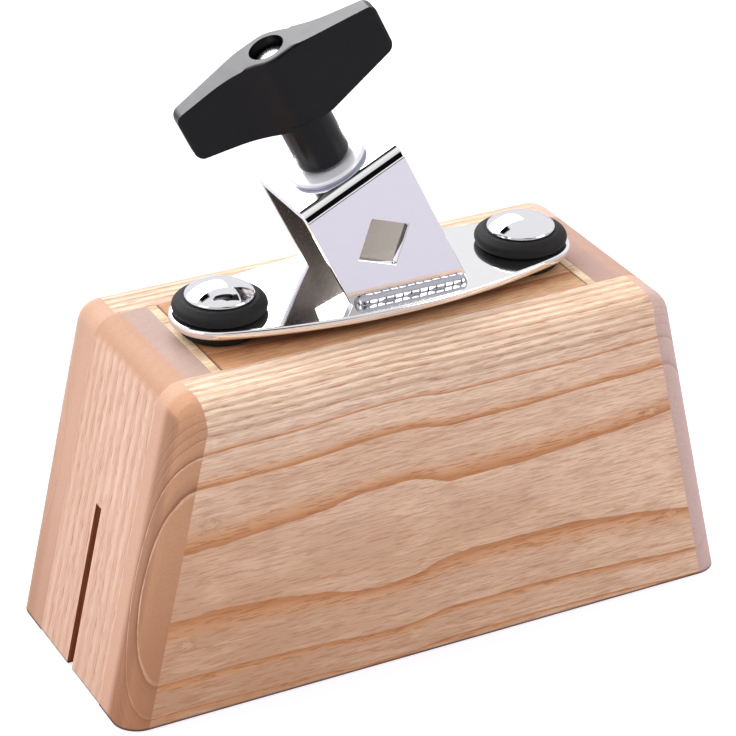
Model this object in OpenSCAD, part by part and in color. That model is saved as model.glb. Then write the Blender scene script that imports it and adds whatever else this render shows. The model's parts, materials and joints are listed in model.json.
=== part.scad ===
// Hollow wooden block for striking, with a tilted rod clamp floating on two rubber grommets.
// Origin: middle of the underside. X runs along the block, Y to the back, Z up. Millimetres.

/* [Block] */
// Length of the block along its underside
block_base_len = 178; // [170:1:200]
// Length of the block along its top
block_top_len = 138; // [134:1:146]
// Height of the block
block_h = 88; // [76:1:110]
// Depth of the block from front face to back face
block_d = 72; // [68:1:90]
// Thickness of the front board and of the back board
face_board_t = 16; // [12:0.5:18]
// Thickness of each end block at its top
end_block_t = 14; // [11:0.5:15]
// Thickness of the top board
top_board_t = 14; // [11:0.5:18]
// Thickness of the two rails that close the bottom
rail_t = 12; // [8:0.5:16]
// Thickness of the pale strip at each end of the top board
strip_t = 2.5; // [1.5:0.5:2.5]
// Radius of the softened edges
edge_r = 7; // [3:0.5:9]
// Width of the saw kerf through both ends and the bottom
kerf_w = 3.2; // [2:0.2:5]
// Height that the saw kerf reaches
kerf_h = 45.5; // [30:0.5:60]

/* [Nails] */
// Diameter of each nail
nail_d = 1.6; // [1.2:0.1:2.2]
// Length of each nail
nail_len = 24; // [18:1:28]
// Diameter of the filler spot over each nail
filler_d = 3.2; // [2.4:0.2:5]
// Depth of the filler spot over each nail
filler_t = 2; // [1:0.5:3]
// Distance from the sloping end to the nails
nail_inset = 13; // [10:0.5:16]
// Height of the lower nails
nail_low_z = 22; // [16:1:30]
// Height of the upper nails
nail_high_z = 55; // [44:1:62]

/* [Mounting plate] */
// Distance of each mounting bolt from the end of the block's top
bolt_inset = 25.5; // [25:0.5:27]
// Width of the plate at its middle
plate_w = 39.6; // [36:0.2:50]
// Radius of the plate's rounded ends
plate_end_r = 13.1; // [12.8:0.1:15]
// Thickness of the plate
plate_t = 2.4; // [1.5:0.1:4]
// Gap between the wood and the plate
plate_gap = 3.4; // [2.4:0.1:3.9]

/* [Rubber grommets] */
// Outside diameter of the upper lip
grommet_d = 24.5; // [20:0.5:25]
// Outside diameter of the lower lip
grommet_low_d = 21; // [18:0.5:23]
// Height of the upper lip above the plate
grommet_lip_h = 4.1; // [3.6:0.1:6]
// Radius of the upper lip's rounded edge
grommet_edge_r = 1.7; // [1:0.1:1.8]
// Slope of the upper lip's shoulder
grommet_slope = 35; // [20:1:60]
// Diameter of the neck that fills the hole in the plate
grommet_neck_d = 15; // [12:0.5:17]

/* [Mounting bolts] */
// Diameter of the domed head
dome_d = 18; // [16:0.2:20]
// Height of the domed head
dome_h = 3.8; // [2.5:0.1:6]
// Thickness of the straight rim below the dome
dome_rim_t = 0.8; // [0.4:0.1:1.4]
// Diameter of the bolt's shank
bolt_d = 6; // [5:0.5:7]
// Length of the shank below the head
bolt_len = 30; // [27:0.5:36]
// Radial play of the shank in the sleeve and in the wood
bolt_play = 0.1; // [0.05:0.05:0.2]
// Wall of the sleeve inside each grommet
sleeve_wall = 0.9; // [0.6:0.1:1.4]
// Diameter of the flange of the tee nut under the top board
tee_flange_d = 17; // [14:0.5:17]
// Thickness of that flange
tee_flange_t = 1.5; // [1:0.1:2.5]
// Diameter of the tee nut's barrel
tee_barrel_d = 8.4; // [8:0.1:10]
// Length of the tee nut's barrel
tee_barrel_len = 8; // [5:0.5:10]

/* [Rod clamp] */
// Lean of the clamp away from upright
lean = 26; // [15:1:30]
// Distance of the clamp's foot from the block's middle
strap_x = 3.8; // [0:0.1:6]
// Height of the strap along its lean, from the plate to its outer top face
strap_h = 38; // [34:0.5:44]
// Width of the strap
strap_w = 30; // [26:0.5:34]
// Distance between the strap's outer faces
strap_d = 27.4; // [25:0.2:30]
// Thickness of the strap
strap_t = 2.3; // [1.8:0.1:2.8]
// Outside radius of the strap's two bends
strap_bend_r = 3.4; // [3:0.1:5]
// Side of the square rod hole, which stands on its corner
rod_hole = 11; // [9.6:0.1:12]
// Depth of the rod hole's middle below the strap's top face
rod_hole_depth = 20.2; // [19:0.1:22]
// Leg of the weld bead along the foot of each strap leg
weld_r = 2.2; // [1.4:0.1:2.8]
// Length by which each weld bead stops short of the strap's edge
weld_inset = 0.8; // [0.4:0.1:2]

/* [Clamp nut] */
// Diameter of the nut's flange
nut_flange_d = 20.6; // [18:0.2:21]
// Thickness of the nut's flange
nut_flange_t = 1.6; // [1.2:0.1:2.4]
// Radius of the flange's rounded rim
nut_rim_r = 0.7; // [0.3:0.1:1]
// Diameter of the nut's barrel
nut_barrel_d = 12; // [11:0.2:14]
// Length of the barrel below the strap's top sheet
nut_barrel_len = 4; // [3:0.5:5]

/* [Wing bolt] */
// Diameter of the threaded stud
stud_d = 7.9; // [7:0.1:8.2]
// Depth of the stud's tip below the strap's top face
stud_depth = 16.1; // [15:0.1:16.5]
// Length of the stud's tapered tip
stud_tip_len = 0.8; // [0.4:0.1:1.5]
// Diameter of the stud's riveted head in the handle
stud_head_d = 8.4; // [8.3:0.1:8.6]
// Thickness of that head
stud_head_t = 2.3; // [0.8:0.1:2.6]
// Radial clearance of the turning and sliding fits
run_gap = 0.05; // [0.02:0.01:0.1]
// Gap under the stud's head
head_gap = 0.1; // [0.05:0.05:0.2]
// Gap between the nut's flange and the handle's hub
hub_gap = 0.6; // [0.5:0.1:3]
// Diameter of the handle's hub
hub_d = 13.8; // [13:0.2:17]
// Length of the hub below the wings
hub_h = 14.2; // [10:0.2:16]
// Radius of the hub's lower edge
hub_edge_r = 1.2; // [0.5:0.1:2]
// Length of the handle from tip to tip
handle_len = 56; // [48:1:64]
// Height of the handle from the hub's end to its crown
handle_h = 35.8; // [32:0.2:40]
// Distance of the wing tips below the crown
wing_drop = 3.6; // [2:0.1:5]
// Slope of each wing's underside, up from the hub
wing_rise = 12; // [6:1:20]
// Radius of each wing's lower corner, seen from the side
wing_low_r = 2.6; // [1:0.1:4]
// Radius of each wing's upper corner, seen from the side
wing_high_r = 2.6; // [0.5:0.1:3.5]
// Diameter of the round middle of the wings
crown_d = 13.6; // [12:0.2:13.6]
// Thickness of each wing at its tip
wing_tip_t = 4.6; // [3:0.1:6]
// Distance of each wing's tip from the middle plane, one to each side
wing_offset = 1; // [0:0.1:1.6]
// Radius of the hollow where each wing's flatter side meets the middle
wing_fillet_r = 25; // [8:1:30]
// Diameter of the recess in the crown
recess_d = 9.2; // [8.8:0.1:10]
// Depth of the recess in the crown
recess_depth = 4.4; // [3:0.1:6]
// Turn of the handle about the stud as it stands
handle_turn = -7; // [-20:1:20]

/* [Hidden] */

$fn = 72;
// Facets round the plate's two long arcs
long_arc_fn = 360;

// Overrun of every cut past the face it leaves
over = 1;

// Block
end_run = (block_base_len - block_top_len) / 2;
end_slope = atan(end_run / block_h);
half_d = block_d / 2;
core_half = half_d - face_board_t;
inner_x = block_top_len / 2 - end_block_t;
top_board_x = inner_x - strip_t;
top_board_z = block_h - top_board_t;

// Plate and bolts
bolt_x = block_top_len / 2 - bolt_inset;
plate_z = block_h + plate_gap;
plate_top = plate_z + plate_t;
plate_half_w = plate_w / 2;
plate_arc_r = (pow(bolt_x, 2) + pow(plate_half_w, 2) - pow(plate_end_r, 2))
    / (2 * (plate_half_w - plate_end_r));
plate_tangent_x = bolt_x * plate_arc_r / (plate_arc_r - plate_end_r);
head_z = plate_top + grommet_lip_h;
bolt_r = bolt_d / 2;
bolt_hole_r = bolt_r + bolt_play;
sleeve_r = bolt_hole_r + sleeve_wall;

// Clamp, in a frame that stands on the plate and leans with the strap
strap_leg_y = strap_d / 2;
strap_inner_r = strap_bend_r - strap_t;
strap_foot = strap_w / 2 * tan(lean) + over;
strap_top_in = strap_h - strap_t;
rod_hole_z = strap_h - rod_hole_depth;
weld_len = strap_w / cos(lean) - 2 * weld_inset;

// Wing bolt, in the same frame
stud_r = stud_d / 2;
stud_tip_z = strap_h - stud_depth;
hub_z = strap_h + nut_flange_t + hub_gap;
recess_z = handle_h - recess_depth;
stud_head_z = hub_z + recess_z + head_gap;
half_len = handle_len / 2;
hub_r = hub_d / 2;
crown_r = crown_d / 2;
tip_r = wing_tip_t / 2;
// Share of a tip's radius that is left by its flat end face
tip_share = 0.7;
// Share of the crown's radius that is level on top
level_share = 0.75;

ash = "burlywood";
ash_dark = "tan";
ash_pale = "wheat";
chrome = "silver";
steel = "lightslategray";
rubber = "dimgray";
plastic = "darkslategray";

// Half of the block's length at a height
function end_x(z) = block_base_len / 2 - end_run * z / block_h;

// Square with rounded upper corners, from a low edge to a top
module arch(half_w, low, top, r) {
    translate([-half_w, low]) square([2 * half_w, top - low - r]);
    translate([r - half_w, low]) square([2 * (half_w - r), top - low]);
    for (side = [-1, 1])
        translate([side * (half_w - r), top - r]) circle(r = r);
}

// Front view of the block, with round upper corners
module block_outline() {
    corner_t = edge_r / tan((90 + end_slope) / 2);
    corner_x = block_top_len / 2;
    centre_x = corner_x - corner_t;
    centre_z = block_h - edge_r;
    difference() {
        polygon([
            [-block_base_len / 2, 0], [block_base_len / 2, 0],
            [corner_x, block_h], [-corner_x, block_h]
        ]);
        for (side = [0, 1])
            mirror([side, 0])
                difference() {
                    polygon([
                        [centre_x, centre_z],
                        [centre_x, block_h + over],
                        [corner_x + over, block_h + over],
                        [centre_x + (edge_r + over) * cos(end_slope),
                            centre_z + (edge_r + over) * sin(end_slope)]
                    ]);
                    translate([centre_x, centre_z]) circle(r = edge_r);
                }
    }
}

// Block outline drawn from front to back between two depths
module outline_slab(y_low, y_high) {
    translate([0, y_high, 0])
        rotate([90, 0, 0])
            linear_extrude(y_high - y_low)
                block_outline();
}

// Space inside the rounded long upper edges
module long_edges() {
    rotate([90, 0, 90])
        linear_extrude(block_base_len + 2 * over, center = true)
            arch(half_d, 0, block_h, edge_r);
}

// Space inside the rounded sloping edges of the left end
module sloping_edges() {
    reach = block_base_len + block_h;
    translate([-block_base_len / 2, 0, 0])
        rotate([0, end_slope, 0])
            translate([0, 0, -block_h])
                linear_extrude(3 * block_h) {
                    translate([edge_r, -half_d]) square([reach, block_d]);
                    translate([0, edge_r - half_d]) square([reach, block_d - 2 * edge_r]);
                    for (side = [-1, 1])
                        translate([edge_r, side * (half_d - edge_r)]) circle(r = edge_r);
                }
}

// Front board as sawn and sanded, before the nail holes
module face_board_blank() {
    intersection() {
        outline_slab(-half_d, -core_half);
        long_edges();
        sloping_edges();
        mirror([1, 0, 0]) sloping_edges();
    }
}

// Something at each of the four nails of the front board
module at_nails() {
    for (side = [-1, 1], z = [nail_low_z, nail_high_z])
        translate([side * (end_x(z) - nail_inset), -half_d, z])
            rotate([-90, 0, 0])
                children();
}

// Nail on its own axis, with its head under the filler
module nail() {
    translate([0, 0, filler_t]) cylinder(d = nail_d, h = nail_len);
}

// Hole for a nail and its filler, open at the face
module nail_hole() {
    translate([0, 0, filler_t]) cylinder(d = nail_d, h = nail_len);
    translate([0, 0, -over]) cylinder(d = filler_d, h = filler_t + over);
}

module face_board() {
    difference() {
        face_board_blank();
        at_nails() nail_hole();
    }
}

module front_board() {
    color(ash) face_board();
}

module back_board() {
    color(ash) mirror([0, 1, 0]) face_board();
}

// Kerf through the whole length of the block
module kerf() {
    translate([-block_base_len / 2 - over, -kerf_w / 2, -over])
        cube([block_base_len + 2 * over, kerf_w, kerf_h + over]);
}

module end_block() {
    difference() {
        intersection() {
            outline_slab(-core_half, core_half);
            translate([-block_base_len / 2, -core_half, 0])
                cube([block_base_len / 2 - inner_x, 2 * core_half, block_h]);
        }
        kerf();
        at_nails() nail_hole();
        mirror([0, 1, 0]) at_nails() nail_hole();
    }
}

module left_end_block() {
    color(ash_dark) end_block();
}

module right_end_block() {
    color(ash_dark) mirror([1, 0, 0]) end_block();
}

// Hole down through the top board for a bolt and the barrel of its tee nut
module bolt_hole() {
    translate([0, 0, top_board_z - over])
        cylinder(r = bolt_hole_r, h = top_board_t + 2 * over);
    translate([0, 0, top_board_z - over])
        cylinder(d = tee_barrel_d, h = tee_barrel_len + over);
}

module top_board() {
    color(ash)
        difference() {
            translate([-top_board_x, -core_half, top_board_z])
                cube([2 * top_board_x, 2 * core_half, top_board_t]);
            for (side = [-1, 1])
                translate([side * bolt_x, 0, 0]) bolt_hole();
        }
}

module strip() {
    translate([top_board_x, -core_half, top_board_z])
        cube([strip_t, 2 * core_half, top_board_t]);
}

module left_strip() {
    color(ash_pale) mirror([1, 0, 0]) strip();
}

module right_strip() {
    color(ash_pale) strip();
}

module bottom_rail() {
    translate([-inner_x, -core_half, 0])
        cube([2 * inner_x, core_half - kerf_w / 2, rail_t]);
}

module front_bottom_rail() {
    color(ash) bottom_rail();
}

module back_bottom_rail() {
    color(ash) mirror([0, 1, 0]) bottom_rail();
}

module board_nails() {
    color(steel)
        for (side = [0, 1])
            mirror([0, side, 0]) at_nails() nail();
}

module nail_fillers() {
    color(ash_pale)
        for (side = [0, 1])
            mirror([0, side, 0]) at_nails() cylinder(d = filler_d, h = filler_t);
}

// Boat-shaped outline: two long arcs that run smoothly into two round ends
module plate_outline() {
    intersection() {
        translate([0, plate_arc_r - plate_half_w])
            circle(r = plate_arc_r, $fn = long_arc_fn);
        translate([0, plate_half_w - plate_arc_r])
            circle(r = plate_arc_r, $fn = long_arc_fn);
        square([2 * plate_tangent_x, plate_w + over], center = true);
    }
    for (side = [-1, 1])
        translate([side * bolt_x, 0]) circle(r = plate_end_r);
}

module mount_plate() {
    color(chrome)
        translate([0, 0, plate_z])
            linear_extrude(plate_t)
                difference() {
                    plate_outline();
                    for (side = [-1, 1])
                        translate([side * bolt_x, 0]) circle(d = grommet_neck_d);
                }
}

// Frame of the clamp: its foot on the plate, its Z along the lean
module leaning() {
    translate([strap_x, 0, plate_top])
        rotate([0, -lean, 0])
            children();
}

// Section of the strap, an upside-down U
module strap_section() {
    difference() {
        arch(strap_leg_y, -strap_foot, strap_h, strap_bend_r);
        arch(strap_leg_y - strap_t, -strap_foot - over, strap_top_in, strap_inner_r);
    }
}

module clamp_strap() {
    reach = strap_w + strap_h;
    color(chrome)
        difference() {
            leaning()
                difference() {
                    rotate([90, 0, 90])
                        linear_extrude(strap_w, center = true)
                            strap_section();
                    translate([0, 0, rod_hole_z])
                        rotate([0, 45, 0])
                            cube([rod_hole, strap_d + 2 * over, rod_hole], center = true);
                    translate([0, 0, strap_top_in - over])
                        cylinder(d = nut_barrel_d, h = strap_t + 2 * over);
                }
            translate([strap_x - reach, -strap_d, plate_top - reach])
                cube([2 * reach, 2 * strap_d, reach]);
        }
}

// Quarter-round bead in the corner of leg and plate
module weld_beads() {
    color(chrome)
        for (side = [0, 1])
            mirror([0, side, 0])
                translate([strap_x, strap_leg_y, plate_top])
                    rotate([90, 0, 90])
                        linear_extrude(weld_len, center = true)
                            intersection() {
                                circle(r = weld_r);
                                square(weld_r + over);
                            }
}

// Flange seated on the strap, with a barrel down through its top sheet
module clamp_nut() {
    color(chrome)
        leaning()
            translate([0, 0, strap_h])
                difference() {
                    union() {
                        translate([0, 0, -strap_t - nut_barrel_len])
                            cylinder(d = nut_barrel_d, h = strap_t + nut_barrel_len + nut_flange_t);
                        rotate_extrude()
                            intersection() {
                                arch(nut_flange_d / 2, 0, nut_flange_t, nut_rim_r);
                                square([nut_flange_d, nut_flange_t + over]);
                            }
                    }
                    translate([0, 0, -strap_t - nut_barrel_len - over])
                        cylinder(r = stud_r + run_gap, h = strap_h);
                }
}

// Half section of the lower lip, with a half-round edge
module lower_lip() {
    round_r = plate_gap / 2;
    square([grommet_low_d / 2 - round_r, plate_gap]);
    translate([grommet_low_d / 2 - round_r, round_r]) circle(r = round_r);
}

// Half section of the upper lip, with a rounded edge and a sloping shoulder
module upper_lip() {
    edge_x = grommet_d / 2 - grommet_edge_r;
    slope_x = edge_x + grommet_edge_r * sin(grommet_slope);
    slope_z = grommet_edge_r + grommet_edge_r * cos(grommet_slope);
    shoulder_x = slope_x - (grommet_lip_h - slope_z) / tan(grommet_slope);
    polygon([
        [0, 0], [edge_x, 0], [edge_x, grommet_edge_r], [slope_x, slope_z],
        [shoulder_x, grommet_lip_h], [0, grommet_lip_h]
    ]);
    translate([edge_x, grommet_edge_r]) circle(r = grommet_edge_r);
}

// Grommet on its own axis, with its base on the wood
module grommet() {
    color(rubber)
        translate([0, 0, block_h])
            rotate_extrude()
                difference() {
                    union() {
                        lower_lip();
                        square([grommet_neck_d / 2, head_z - block_h]);
                        translate([0, plate_gap + plate_t]) upper_lip();
                    }
                    translate([0, -over]) square([sleeve_r, head_z]);
                }
}

module left_grommet() {
    translate([-bolt_x, 0, 0]) grommet();
}

module right_grommet() {
    translate([bolt_x, 0, 0]) grommet();
}

// Metal tube that carries the bolt's pull past the rubber
module sleeve() {
    color(steel)
        translate([0, 0, block_h])
            difference() {
                cylinder(r = sleeve_r, h = head_z - block_h);
                translate([0, 0, -over]) cylinder(r = bolt_hole_r, h = head_z - block_h + 2 * over);
            }
}

module left_sleeve() {
    translate([-bolt_x, 0, 0]) sleeve();
}

module right_sleeve() {
    translate([bolt_x, 0, 0]) sleeve();
}

// Bolt with a smooth domed head that rests on the sleeve and the grommet
module dome_bolt() {
    cap_h = dome_h - dome_rim_t;
    cap_r = (pow(dome_d / 2, 2) + pow(cap_h, 2)) / (2 * cap_h);
    color(chrome)
        translate([0, 0, head_z]) {
            cylinder(d = dome_d, h = dome_rim_t);
            intersection() {
                translate([0, 0, dome_h - cap_r]) sphere(r = cap_r);
                cylinder(d = dome_d, h = dome_h + over);
            }
            translate([0, 0, -bolt_len]) cylinder(r = bolt_r, h = bolt_len + dome_rim_t);
        }
}

module left_dome_bolt() {
    translate([-bolt_x, 0, 0]) dome_bolt();
}

module right_dome_bolt() {
    translate([bolt_x, 0, 0]) dome_bolt();
}

// Nut pressed into the top board from inside the hollow
module tee_nut() {
    color(steel)
        translate([0, 0, top_board_z])
            difference() {
                union() {
                    translate([0, 0, -tee_flange_t]) cylinder(d = tee_flange_d, h = tee_flange_t);
                    translate([0, 0, -tee_flange_t])
                        cylinder(d = tee_barrel_d, h = tee_flange_t + tee_barrel_len);
                }
                translate([0, 0, -tee_flange_t - over])
                    cylinder(r = bolt_r, h = tee_flange_t + tee_barrel_len + 2 * over);
            }
}

module left_tee_nut() {
    translate([-bolt_x, 0, 0]) tee_nut();
}

module right_tee_nut() {
    translate([bolt_x, 0, 0]) tee_nut();
}

// Stud from its tapered tip in the strap to its head in the handle
module wing_stud() {
    color(steel)
        leaning() {
            translate([0, 0, stud_tip_z])
                cylinder(r1 = stud_r - stud_tip_len, r2 = stud_r, h = stud_tip_len);
            translate([0, 0, stud_tip_z + stud_tip_len])
                cylinder(r = stud_r, h = stud_head_z - stud_tip_z - stud_tip_len);
            translate([0, 0, stud_head_z]) cylinder(d = stud_head_d, h = stud_head_t);
        }
}

// Both wings from the side: level crown, slopes down to each tip, undersides up from the hub
module wing_profile() {
    level_x = crown_r * level_share;
    top_slope = atan(wing_drop / (half_len - level_x));
    low_x = half_len - wing_low_r;
    low_z = hub_h + (low_x - hub_r) * tan(wing_rise) + wing_low_r / cos(wing_rise);
    high_x = half_len - wing_high_r;
    high_z = handle_h - (high_x - level_x) * tan(top_slope) - wing_high_r / cos(top_slope);
    for (side = [0, 1])
        mirror([side, 0]) {
            polygon([
                [0, hub_h], [hub_r, hub_h],
                [low_x + wing_low_r * sin(wing_rise), low_z - wing_low_r * cos(wing_rise)],
                [low_x, low_z], [half_len, low_z], [half_len, high_z], [high_x, high_z],
                [high_x + wing_high_r * sin(top_slope), high_z + wing_high_r * cos(top_slope)],
                [level_x, handle_h], [0, handle_h]
            ]);
            translate([low_x, low_z]) circle(r = wing_low_r);
            translate([high_x, high_z]) circle(r = wing_high_r);
        }
}

// Both wings from above: each is set to its own side of the middle plane
module wing_plan() {
    tip_x = half_len - tip_r * tip_share;
    reach = sqrt(pow(tip_x, 2) + pow(wing_offset, 2));
    side_turn = asin((crown_r - tip_r) / reach) - atan(wing_offset / tip_x);
    flat_y = tip_r - wing_offset;
    fillet_y = flat_y + wing_fillet_r;
    fillet_x = sqrt(pow(crown_r + wing_fillet_r, 2) - pow(fillet_y, 2));
    crown_share = crown_r / (crown_r + wing_fillet_r);
    circle(r = crown_r);
    for (turn = [0, 180])
        rotate(turn) {
            difference() {
                polygon([
                    [0, 0],
                    [crown_r * sin(side_turn), -crown_r * cos(side_turn)],
                    [tip_x + tip_r * sin(side_turn), -wing_offset - tip_r * cos(side_turn)],
                    [tip_x, -wing_offset],
                    [tip_x, flat_y],
                    [fillet_x, flat_y],
                    [fillet_x, fillet_y],
                    [fillet_x * crown_share, fillet_y * crown_share]
                ]);
                translate([fillet_x, fillet_y]) circle(r = wing_fillet_r);
            }
            translate([tip_x, -wing_offset]) circle(r = tip_r);
        }
}

// Hub with a rounded lower edge, let into the middle of the wings
module hub() {
    translate([0, 0, hub_h])
        mirror([0, 0, 1])
            rotate_extrude()
                intersection() {
                    arch(hub_r, -hub_edge_r, hub_h, hub_edge_r);
                    translate([0, -hub_edge_r]) square([hub_d, hub_h + hub_edge_r]);
                }
}

module wing_handle() {
    color(plastic)
        leaning()
            translate([0, 0, hub_z])
                rotate([0, 0, handle_turn])
                    difference() {
                        union() {
                            hub();
                            intersection() {
                                rotate([90, 0, 0])
                                    linear_extrude(hub_d, center = true)
                                        wing_profile();
                                linear_extrude(handle_h + over)
                                    wing_plan();
                            }
                        }
                        translate([0, 0, -over])
                            cylinder(r = stud_r + run_gap, h = handle_h);
                        translate([0, 0, recess_z])
                            cylinder(d = recess_d, h = recess_depth + over);
                    }
}

front_board();
back_board();
left_end_block();
right_end_block();
top_board();
left_strip();
right_strip();
front_bottom_rail();
back_bottom_rail();
board_nails();
nail_fillers();
mount_plate();
clamp_strap();
weld_beads();
clamp_nut();
left_grommet();
right_grommet();
left_sleeve();
right_sleeve();
left_dome_bolt();
right_dome_bolt();
left_tee_nut();
right_tee_nut();
wing_stud();
wing_handle();
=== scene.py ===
"""Looks of the wooden block and its rod clamp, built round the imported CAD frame."""

import json
import math

import bmesh
import bpy
from mathutils import Matrix, Vector

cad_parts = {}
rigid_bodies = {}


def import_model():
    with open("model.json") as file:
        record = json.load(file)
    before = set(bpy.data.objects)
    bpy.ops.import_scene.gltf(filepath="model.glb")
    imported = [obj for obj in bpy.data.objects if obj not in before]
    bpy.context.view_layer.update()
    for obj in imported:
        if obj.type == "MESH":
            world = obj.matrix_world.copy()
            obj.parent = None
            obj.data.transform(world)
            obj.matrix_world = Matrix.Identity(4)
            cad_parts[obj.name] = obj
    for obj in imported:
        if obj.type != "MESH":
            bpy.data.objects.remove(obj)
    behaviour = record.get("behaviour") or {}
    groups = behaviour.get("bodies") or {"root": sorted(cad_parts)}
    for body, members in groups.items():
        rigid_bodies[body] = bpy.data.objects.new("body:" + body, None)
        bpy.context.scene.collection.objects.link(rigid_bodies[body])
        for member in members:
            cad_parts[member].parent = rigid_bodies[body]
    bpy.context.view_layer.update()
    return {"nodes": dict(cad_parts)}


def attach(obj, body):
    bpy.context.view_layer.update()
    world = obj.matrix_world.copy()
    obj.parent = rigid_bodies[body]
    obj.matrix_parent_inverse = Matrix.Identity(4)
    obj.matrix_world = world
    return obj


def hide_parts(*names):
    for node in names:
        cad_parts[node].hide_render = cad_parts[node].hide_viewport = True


for leftover in list(bpy.data.objects):
    bpy.data.objects.remove(leftover)

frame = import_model()
nodes = frame["nodes"]

MM = 0.001
# The clamp leans to the left: AXIS runs up along its screw, ACROSS at right angles to that, and FOOT is where the
# screw's line meets the plate. Lengths are in millimetres, apart from FOOT, which is in the scene's metres.
LEAN = math.radians(26.0)
AXIS = Vector((-math.sin(LEAN), 0.0, math.cos(LEAN)))
ACROSS = Vector((math.cos(LEAN), 0.0, math.sin(LEAN)))
PLATE_TOP = 93.8
FOOT_X = 3.8
FOOT = Vector((FOOT_X, 0.0, PLATE_TOP)) * MM
# The strap: the outer and inner faces of its legs across Y, and its top sheet's underside up the clamp's axis.
LEG_OUTSIDE, LEG_INSIDE, SHEET_INSIDE = 13.7, 11.5, 35.8
# The block: half its length at the base and at the top, half its depth, its height, and its edges' round-over.
HALF_BASE, HALF_TOP, HALF_DEPTH, BLOCK_TOP = 89.0, 69.0, 36.0, 88.0
ROUND_OVER = 7.0
KERF_HALF, KERF_TOP = 1.6, 45.5
END_SLOPE = math.atan((HALF_BASE - HALF_TOP) / BLOCK_TOP)
WHITE = (1.0, 1.0, 1.0, 1.0)


def srgb(red, green, blue):
    """A colour given as 0 to 255, as the shader wants it."""
    out = []
    for value in (red, green, blue):
        c = value / 255.0
        out.append(c / 12.92 if c <= 0.04045 else ((c + 0.055) / 1.055) ** 2.4)
    return (out[0], out[1], out[2], 1.0)


class Nodes:
    """A node tree, built by short calls that return sockets.

    A value may be a number, a colour or another node's socket.
    """

    def __init__(self, tree):
        self.tree = tree
        self.tree.nodes.clear()

    def node(self, kind, values=(), **settings):
        """A new node, with values or links for its inputs and settings of its own."""
        made = self.tree.nodes.new(kind)
        for key, value in settings.items():
            setattr(made, key, value)
        for key, value in dict(values).items():
            self.put(made.inputs[key], value)
        return made

    def put(self, socket, value):
        """Links a socket, or sets a plain value on it."""
        if isinstance(value, bpy.types.NodeSocket):
            self.tree.links.new(value, socket)
        else:
            socket.default_value = value

    def math(self, operation, a, b=0.0):
        return self.node("ShaderNodeMath", {0: a, 1: b}, operation=operation).outputs[0]

    def add(self, a, b):
        return self.math("ADD", a, b)

    def sub(self, a, b):
        return self.math("SUBTRACT", a, b)

    def mul(self, a, b):
        return self.math("MULTIPLY", a, b)

    def fit(self, value, low, high, to_low=0.0, to_high=1.0, smooth=True):
        """A value taken from one range to another, held at both ends."""
        made = self.node(
            "ShaderNodeMapRange",
            {"Value": value, "From Min": low, "From Max": high, "To Min": to_low, "To Max": to_high},
        )
        made.interpolation_type = "SMOOTHSTEP" if smooth else "LINEAR"
        return made.outputs["Result"]

    def combine(self, x, y, z):
        return self.node("ShaderNodeCombineXYZ", {0: x, 1: y, 2: z}).outputs[0]

    def noise(self, x, y, z, detail=2.0, roughness=0.5):
        made = self.node(
            "ShaderNodeTexNoise",
            {"Vector": self.combine(x, y, z), "Scale": 1.0, "Detail": detail, "Roughness": roughness},
        )
        return made.outputs["Fac"]

    def mix(self, factor, a, b):
        """A colour between two others."""
        made = self.tree.nodes.new("ShaderNodeMix")
        made.data_type = "RGBA"
        self.put(made.inputs[0], factor)
        self.put(made.inputs[6], a)
        self.put(made.inputs[7], b)
        return made.outputs[2]

    def ramp(self, value, stops):
        """A value through a straight ramp of greys or colours."""
        made = self.node("ShaderNodeValToRGB", {"Fac": value})
        elements = made.color_ramp.elements
        while len(elements) < len(stops):
            elements.new(0.5)
        for element, (place, colour) in zip(elements, stops):
            element.position = place
            element.color = colour if hasattr(colour, "__len__") else (colour, colour, colour, 1.0)
        return made.outputs["Color"]

    def curve(self, value, points, handle="AUTO_CLAMPED"):
        """A value through a curve of given points."""
        made = self.node("ShaderNodeFloatCurve", {"Value": value})
        line = made.mapping.curves[0]
        while len(line.points) < len(points):
            line.points.new(0.5, 0.5)
        for point, place in zip(line.points, points):
            point.location = place
            point.handle_type = handle
        made.mapping.update()
        return made.outputs[0]

    def millimetres(self):
        """Object coordinates in millimetres, as three sockets."""
        coordinate = self.node("ShaderNodeTexCoord").outputs["Object"]
        scaled = self.node("ShaderNodeVectorMath", {0: coordinate, 3: 1000.0}, operation="SCALE").outputs[0]
        split = self.node("ShaderNodeSeparateXYZ", {0: scaled})
        return split.outputs[0], split.outputs[1], split.outputs[2]

    def normal(self):
        """The surface's direction in the object's own frame, as three sockets."""
        coordinate = self.node("ShaderNodeTexCoord").outputs["Normal"]
        split = self.node("ShaderNodeSeparateXYZ", {0: coordinate})
        return split.outputs[0], split.outputs[1], split.outputs[2]


class Shader(Nodes):
    """A material's nodes, round one principled surface."""

    def __init__(self, name):
        self.material = bpy.data.materials.new(name)
        self.material.use_nodes = True
        super().__init__(self.material.node_tree)
        self.out = self.tree.nodes.new("ShaderNodeOutputMaterial")
        self.bsdf = self.tree.nodes.new("ShaderNodeBsdfPrincipled")
        self.tree.links.new(self.bsdf.outputs["BSDF"], self.out.inputs["Surface"])

    def up_the_clamp(self, x, z):
        """Millimetres above the plate along the clamp's leaning axis."""
        return self.add(self.mul(self.sub(x, FOOT_X), AXIS.x), self.mul(self.sub(z, PLATE_TOP), AXIS.z))

    def bump(self, height, distance, strength):
        """Fine relief on the surface, in metres."""
        made = self.node("ShaderNodeBump", {"Height": height, "Distance": distance, "Strength": strength})
        self.tree.links.new(made.outputs["Normal"], self.bsdf.inputs["Normal"])

    def set(self, **values):
        """Sets or links the surface's own sockets, with _ for a space in a name."""
        for key, value in values.items():
            self.put(self.bsdf.inputs[key.replace("_", " ")], value)


def darker(colour, amount):
    """A colour with less light in it, green and blue going first."""
    return (colour[0] - amount, colour[1] - amount * 1.15, colour[2] - amount * 1.15)


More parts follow.
